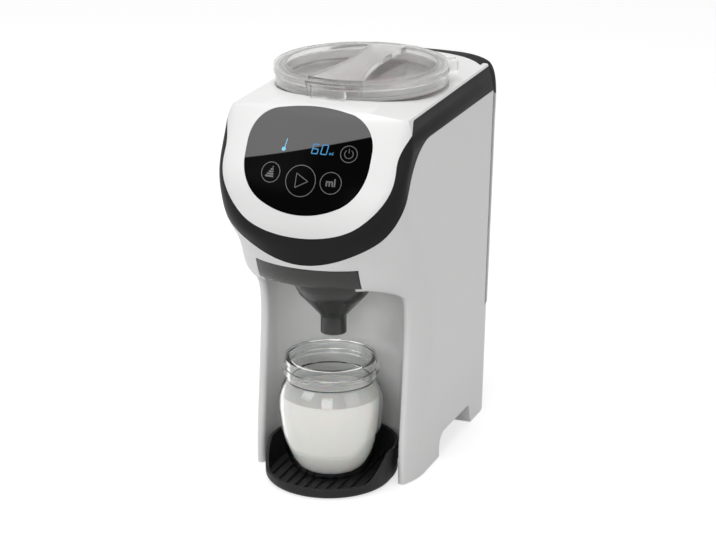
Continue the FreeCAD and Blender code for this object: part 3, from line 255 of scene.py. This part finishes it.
# which piece and finish each CAD node gets
dressing = {
    "lower_housing": ("lowerHousingShell", whiteAbs), "top_cover": ("topCoverShell", whiteAbs),
    "trim_band": ("wrapBand", blackAbs), "tank_lid": ("tankLid", dullAbsWithPaintedShade),
    "container_well": ("containerWell", whiteAbs), "powder_container": ("powderContainer", clearCopolyester),
    "dial_wheel": ("dialWheel", roseAcetal), "dial_cover": ("dialCover", clearCopolyester),
    "stirring_wheel": ("stirringWheel", roseAcetal), "container_lid": ("containerLid", clearCopolyester),
    "lid_seal": ("lidSeal", milkySilicone), "powder_chute": ("powderChute", greyAbs),
    "output_gear": ("outputGear", naturalAcetal), "idler_gear": ("idlerGear", naturalAcetal),
    "motor_pinion": ("motorPinion", turnedSteel), "drive_plate": ("drivePlate", greyAbs),
    "idler_pin": ("idlerPin", turnedSteel), "gearbox_cover": ("gearboxCover", greyAbs),
    "drive_bush": ("driveBush", naturalAcetal), "drive_motor": ("driveMotor", zincPlate),
    "funnel_drawer": ("funnelDrawer", smokedPp), "mixing_funnel": ("mixingFunnel", smokedPp),
    "bottle_tray": ("bottleTray", grainedPp), "glass_jar": ("glassJar", pressedGlass),
    "formula_milk": ("formulaMilk", babyMilk), "water_tank": ("waterTank", smokedPolycarbonate),
    "valve_poppet": ("valvePoppet", naturalAcetal), "valve_spring": ("valveSpring", turnedSteel),
    "tank_dock": ("tankDock", greyAbs), "dock_seal": ("dockSeal", milkySilicone),
    "tank_hose": ("tankHose", milkySilicone), "pump_hose": ("pumpHose", milkySilicone),
    "outlet_hose": ("outletHose", milkySilicone), "base_plate": ("basePlate", greyAbs),
    "water_pump": ("waterPump", zincPlate), "inline_heater": ("inlineHeater", castAluminium),
    "thermostat": ("thermostat", zincPlate), "water_outlet": ("waterOutlet", greyAbs),
    "main_board": ("mainBoard", circuitBoard), "display_board": ("displayBoard", circuitBoard),
    "power_inlet": ("powerInlet", blackRubber), "rubber_feet": ("rubberFeet", blackRubber),
    "base_screws": ("baseScrews", turnedSteel),
}
springHolder = "water_tank"   # the spring's upper end stays in the tank while the poppet rises
for nodeName, (pieceName, material) in dressing.items():
    holder = springHolder if nodeName == "valve_spring" else bodyOfNode[nodeName]
    linkPiece(skinOf(nodeName, pieceName), holder, material, [nodeName])
print("skins made:", len(dressing))

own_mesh(bpy.data.objects["valveSpring"])

# display window: places on it are x and z in millimetres
display = {
    # light is a painted reflection on the upper part of the glass, dark is the glass's own tint
    "light": "6a6a6a", "dark": "040404",
    "paintedReflectionEdge": ((-46.5, 256.0), (45.7, 277.6)),   # the edge of the painted reflection
    "paintedReflectionBlur": 0.3,
    "printLift": 0.06,                          # thickness of the print over the glass
    "line": 0.55,                               # stroke of the printed marks
    "inFront": -300.0, "hover": 20.0,           # where the rays start that find the glass
}


def paintedReflectionWindowFinish():
    # Tinted acrylic: near black below a slanting line, with a painted reflection in lighter grey above it.
    material, tree, shader, where = startMaterial("acrylicWithPaintedReflection", {
        "Specular IOR Level": 0.015, "Roughness": 0.2})
    parts = addNode(tree, "ShaderNodeSeparateXYZ", inputs={"Vector": where})
    (x0, z0), (x1, z1) = display["paintedReflectionEdge"]
    slope = (z1 - z0) / (x1 - x0)
    lean = addNode(tree, "ShaderNodeMath", {"operation": "MULTIPLY"}, {0: parts.outputs["X"], 1: -slope})
    height = addNode(tree, "ShaderNodeMath", {"operation": "ADD"}, {
        0: parts.outputs["Z"], 1: lean.outputs["Value"]})
    edge = (z0 - slope * x0) * mm
    reflectionBlur = display["paintedReflectionBlur"] * mm
    paintedReflectionMask = addNode(tree, "ShaderNodeMapRange", inputs={
        "Value": height.outputs["Value"], "From Min": edge - reflectionBlur, "From Max": edge + reflectionBlur})
    # the painted reflection is mixed in above the slanting edge
    tree.links.new(twoTones(tree, paintedReflectionMask.outputs["Result"], display), shader.inputs["Base Color"])
    return material


window = linkPiece(skinOf("display_window", "displayWindow"), "machine", paintedReflectionWindowFinish(), ["display_window"])
windowPoints = [vertex.co for vertex in window.data.vertices]
windowTree = BVHTree.FromPolygons(windowPoints, [face.vertices for face in window.data.polygons])
# Screen-printed grey ink: dull, slightly uneven cover.
greyInk = mouldedFinish("greyPrintedInk", {
    "dark": "505050", "light": "5b5b5b", "cloud": 4.0,
    "smooth": 0.35, "rough": 0.45, "peel": 0.5, "bump": 0.05})


segment = {"glow": 0.6, "specks": 900.0}   # specks of its grain per metre


def litFinish(name, look):
    # an LED segment behind a diffuser: even, with a faint grain
    material, tree, shader, where = startMaterial(name, {
        "Roughness": 0.4, "Emission Strength": segment["glow"]})
    grain = addNode(tree, "ShaderNodeTexNoise", inputs={
        "Vector": where, "Scale": segment["specks"], "Detail": 1.0})
    tones = twoTones(tree, grain.outputs["Fac"], look)
    tree.links.new(tones, shader.inputs["Base Color"])
    tree.links.new(tones, shader.inputs["Emission Color"])
    return material


blueSegment = litFinish("blueLedSegment", {"dark": "246390", "light": "3680ac"})
paleSegment = litFinish("paleBlueLedSegment", {"dark": "5a9dbd", "light": "6fabc6"})


def layOnWindow(name, shape, spot, material):
    # a flat shape drawn in millimetres about its own middle is laid on the curved window at x, z
    inFront = Vector((spot[0], display["inFront"], spot[1])) * mm
    hit, normal, _, _ = windowTree.ray_cast(inFront, Vector((0, 1, 0)))
    across = Vector((0, 0, 1)).cross(normal).normalized()
    upward = normal.cross(across)
    hover = normal * display["hover"] * mm
    for vertex in shape.verts:
        point = hit + across * vertex.co.x * mm + upward * vertex.co.y * mm
        found, away, _, _ = windowTree.ray_cast(point + hover, -normal)
        if found is None:
            found, away = point, normal
        vertex.co = found + away * display["printLift"] * mm
    shape.normal_update()
    inward = [face for face in shape.faces if face.normal.dot(normal) < 0]
    bmesh.ops.reverse_faces(shape, faces=inward)
    for face in shape.faces:
        face.smooth = True
    mesh = bpy.data.meshes.new(name)
    shape.to_mesh(mesh)
    shape.free()
    return linkPiece(bpy.data.objects.new(name, mesh), "machine", material)


fewestSteps, stepAngle = 12, 6.0   # how finely a ring is divided


def flatRing(shape, radius, width, middle=(0.0, 0.0), start=0.0, sweep=360.0):
    toward = Vector((math.cos(start), math.sin(start), 0))
    centre = Vector((*middle, 0))
    inner = shape.verts.new(centre + toward * (radius - width / 2))
    outer = shape.verts.new(centre + toward * (radius + width / 2))
    edge = shape.edges.new((inner, outer))
    bmesh.ops.spin(shape, geom=[inner, outer, edge], cent=centre, axis=(0, 0, 1), angle=math.radians(sweep),
                   steps=max(fewestSteps, int(sweep / stepAngle)), use_merge=sweep == 360.0)


def flatBar(shape, start, stop, width, lengths=4):
    # a straight stroke with a row of points along it, so that it can follow the glass
    way = Vector((stop[0] - start[0], stop[1] - start[1], 0))
    aside = way.normalized().cross(Vector((0, 0, 1))) * width / 2
    foot = Vector((*start, 0))
    edges = [shape.edges.new([shape.verts.new(foot - aside), shape.verts.new(foot + aside)])]
    for _ in range(lengths):
        grown = bmesh.ops.extrude_edge_only(shape, edges=edges)["geom"]
        moved = [part for part in grown if isinstance(part, bmesh.types.BMVert)]
        edges = [part for part in grown if isinstance(part, bmesh.types.BMEdge)]
        bmesh.ops.translate(shape, verts=moved, vec=way / lengths)


def flatText(text):
    letters = bpy.data.curves.new("letters", "FONT")
    letters.body = text["words"]
    letters.size = text["size"]
    letters.offset = text["bold"]
    letters.align_x = "CENTER"
    letters.align_y = "CENTER"
    holder = bpy.data.objects.new("letters", letters)
    bpy.context.scene.collection.objects.link(holder)
    bpy.context.view_layer.update()
    mesh = bpy.data.meshes.new_from_object(holder.evaluated_get(bpy.context.evaluated_depsgraph_get()))
    bpy.data.objects.remove(holder)
    bpy.data.curves.remove(letters)
    shape = bmesh.new()
    shape.from_mesh(mesh)
    bpy.data.meshes.remove(mesh)
    return shape


# printed marks: place on the window and radius of the ring round each
marks = {
    "play": (0.0, 246.6, 11.2), "bars": (-24.0, 249.6, 7.3),
    "unit": (22.4, 246.9, 7.7), "power": (31.6, 265.8, 6.0),
}
playSign = {"corners": [(-3.6, 5.2), (-3.6, -5.2), (5.6, 0.0)]}
barsSign = {"count": 5, "top": (0.7, 1.5, 3.9), "leftStep": 1.15, "rightStep": 0.33, "drop": 1.7, "thick": 1.25}
unitSign = {"words": "ml", "size": 7.6, "bold": 0.22}
powerSign = {"radius": 3.1, "gapStart": math.radians(125), "sweep": 290.0, "stem": ((0.0, 0.6), (0.0, 3.9))}
for markName, (x, z, radius) in marks.items():
    shape = bmesh.new()
    flatRing(shape, radius, display["line"])
    if markName == "play":
        corners = playSign["corners"]
        for i in range(3):
            flatBar(shape, corners[i], corners[(i + 1) % 3], display["line"])
    if markName == "bars":
        left, right, top = barsSign["top"]
        for i in range(barsSign["count"]):
            level = top - barsSign["drop"] * i
            flatBar(shape, (left - barsSign["leftStep"] * i, level), (right + barsSign["rightStep"] * i, level),
                    barsSign["thick"])
    if markName == "power":
        flatRing(shape, powerSign["radius"], display["line"],
                 start=powerSign["gapStart"], sweep=powerSign["sweep"])
        flatBar(shape, *powerSign["stem"], display["line"])
    layOnWindow(markName + "Mark", shape, (x, z), greyInk)
layOnWindow("unitLetters", flatText(unitSign), marks["unit"][:2], greyInk)

# lit signs: the amount in seven-segment digits, its unit and the bottle
segmentsOf = {"6": "afedcg", "0": "abcdef"}
digit = {"wide": 4.2, "tall": 6.8, "stroke": 0.7, "slant": 0.14, "lefts": {"6": -6.0, "0": 0.8},
         "spot": (10.3, 267.5)}
amountUnit = {"words": "ml", "size": 3.2, "bold": 0.05, "spot": (19.0, 265.3)}
bottleSign = {"neck": ((0.5, -2.2), (1.1, 4.6)), "neckWide": 0.6, "body": (0.0, -3.2),
              "bodyRadius": 0.8, "bodyWide": 1.5, "spot": (-17.0, 268.0)}


def segmentDigit(shape, character):
    w, h = digit["wide"], digit["tall"]
    left = digit["lefts"][character]
    ends = {"a": ((0, h), (w, h)), "b": ((w, h), (w, h / 2)), "c": ((w, h / 2), (w, 0)), "d": ((0, 0), (w, 0)),
            "e": ((0, 0), (0, h / 2)), "f": ((0, h / 2), (0, h)), "g": ((0, h / 2), (w, h / 2))}
    for key in segmentsOf[character]:
        start, stop = [(left + x + y * digit["slant"], y - h / 2) for x, y in ends[key]]
        flatBar(shape, start, stop, digit["stroke"])


shape = bmesh.new()
for character in "60":
    segmentDigit(shape, character)
layOnWindow("amountDigits", shape, digit["spot"], blueSegment)
layOnWindow("amountUnit", flatText(amountUnit), amountUnit["spot"], blueSegment)
shape = bmesh.new()
flatBar(shape, *bottleSign["neck"], bottleSign["neckWide"])
flatRing(shape, bottleSign["bodyRadius"], bottleSign["bodyWide"], middle=bottleSign["body"])
layOnWindow("bottleSign", shape, bottleSign["spot"], paleSegment)
print("display laid out")

# studio: pale floor, white surroundings, soft lamps
studio = {
    "camera": (642.2, -1637.8, 752.7), "target": (0.0, -7.6, 144.4), "lens": 123.18, "sensor": 36.0,
    "floorHalf": 4.0, "floorDrop": 0.1 * mm, "floorTones": {"dark": "c0c0c0", "light": "c6c6c6"},
    "floorFibre": 2.5, "floorLift": 0.68,   # the lift shows the floor white without lighting the object
    "roomLight": 0.27, "roomSeen": 1.0, "clipEnd": 20.0,
}
whiteLight = (1.0, 1.0, 1.0, 1.0)


def seenDirectly(tree):
    # 1 for what the eye meets itself, in a reflection or through glass, and 0 for bounced light
    rays = addNode(tree, "ShaderNodeLightPath").outputs
    seen = addNode(tree, "ShaderNodeMath", {"operation": "MAXIMUM"}, {
        0: rays["Is Camera Ray"], 1: rays["Is Glossy Ray"]})
    return addNode(tree, "ShaderNodeMath", {"operation": "MAXIMUM"}, {
        0: seen.outputs["Value"], 1: rays["Is Transmission Ray"]}).outputs["Value"]


floorShape = bmesh.new()
bmesh.ops.create_grid(floorShape, x_segments=1, y_segments=1, size=studio["floorHalf"])
floorMesh = bpy.data.meshes.new("floor")
floorShape.to_mesh(floorMesh)
floorShape.free()
floor = bpy.data.objects.new("floor", floorMesh)
bpy.context.scene.collection.objects.link(floor)
floor.location.z = -studio["floorDrop"]
material, tree, shader, where = startMaterial("paleFloorPaper", {
    "Roughness": 0.85, "Specular IOR Level": 0.1, "Emission Color": whiteLight})
fibres = addNode(tree, "ShaderNodeTexNoise", inputs={
    "Vector": where, "Scale": perMetre(studio["floorFibre"]), "Detail": 2.0})
lift = addNode(tree, "ShaderNodeMath", {"operation": "MULTIPLY"}, {
    0: seenDirectly(tree), 1: studio["floorLift"]})
tree.links.new(twoTones(tree, fibres.outputs["Fac"], studio["floorTones"]), shader.inputs["Base Color"])
tree.links.new(lift.outputs["Value"], shader.inputs["Emission Strength"])
floor.data.materials.append(material)

world = bpy.data.worlds.new("studioRoom")
bpy.context.scene.world = world
world.use_nodes = True
tree = world.node_tree
tree.nodes.clear()
room = addNode(tree, "ShaderNodeBackground", inputs={"Color": whiteLight, "Strength": studio["roomLight"]})
white = addNode(tree, "ShaderNodeBackground", inputs={"Color": whiteLight, "Strength": studio["roomSeen"]})
both = addNode(tree, "ShaderNodeMixShader", inputs={
    0: seenDirectly(tree), 1: room.outputs["Background"], 2: white.outputs["Background"]})
addNode(tree, "ShaderNodeOutputWorld", inputs={"Surface": both.outputs["Shader"]})


def aimedFrom(place, target):
    return (Vector(target) - Vector(place)).to_track_quat("-Z", "Y").to_euler()


# lamps: place and aim in metres, side in metres, power in watts
lamps = {
    "keyLamp": {"place": (-1.5, -1.8, 1.5), "aim": (0.0, -0.05, 0.16), "side": 1.2, "power": 14.0},
    "frontLamp": {"place": (0.5, -2.3, 0.85), "aim": (0.0, 0.0, 0.12), "side": 1.0, "power": 12.0},
    "fillLamp": {"place": (2.0, -0.6, 0.9), "aim": (0.0, 0.0, 0.15), "side": 1.4, "power": 6.0},
    "topLamp": {"place": (-0.1, -0.2, 2.1), "aim": (0.0, 0.0, 0.2), "side": 1.2, "power": 20.0},
}
for lampName, lamp in lamps.items():
    light = bpy.data.lights.new(lampName, "AREA")
    light.shape = "SQUARE"
    light.size = lamp["side"]
    light.energy = lamp["power"]
    holder = bpy.data.objects.new(lampName, light)
    bpy.context.scene.collection.objects.link(holder)
    holder.location = lamp["place"]
    holder.rotation_euler = aimedFrom(lamp["place"], lamp["aim"])

camera = bpy.data.cameras.new("studioCamera")
camera.lens = studio["lens"]
camera.sensor_width = studio["sensor"]
camera.clip_end = studio["clipEnd"]
viewpoint = bpy.data.objects.new("studioCamera", camera)
bpy.context.scene.collection.objects.link(viewpoint)
viewpoint.location = Vector(studio["camera"]) * mm
viewpoint.rotation_euler = aimedFrom(studio["camera"], studio["target"])
bpy.context.scene.camera = viewpoint
bpy.context.scene.view_settings.view_transform = "Standard"
print("studio set")

bpy.context.view_layer.update()
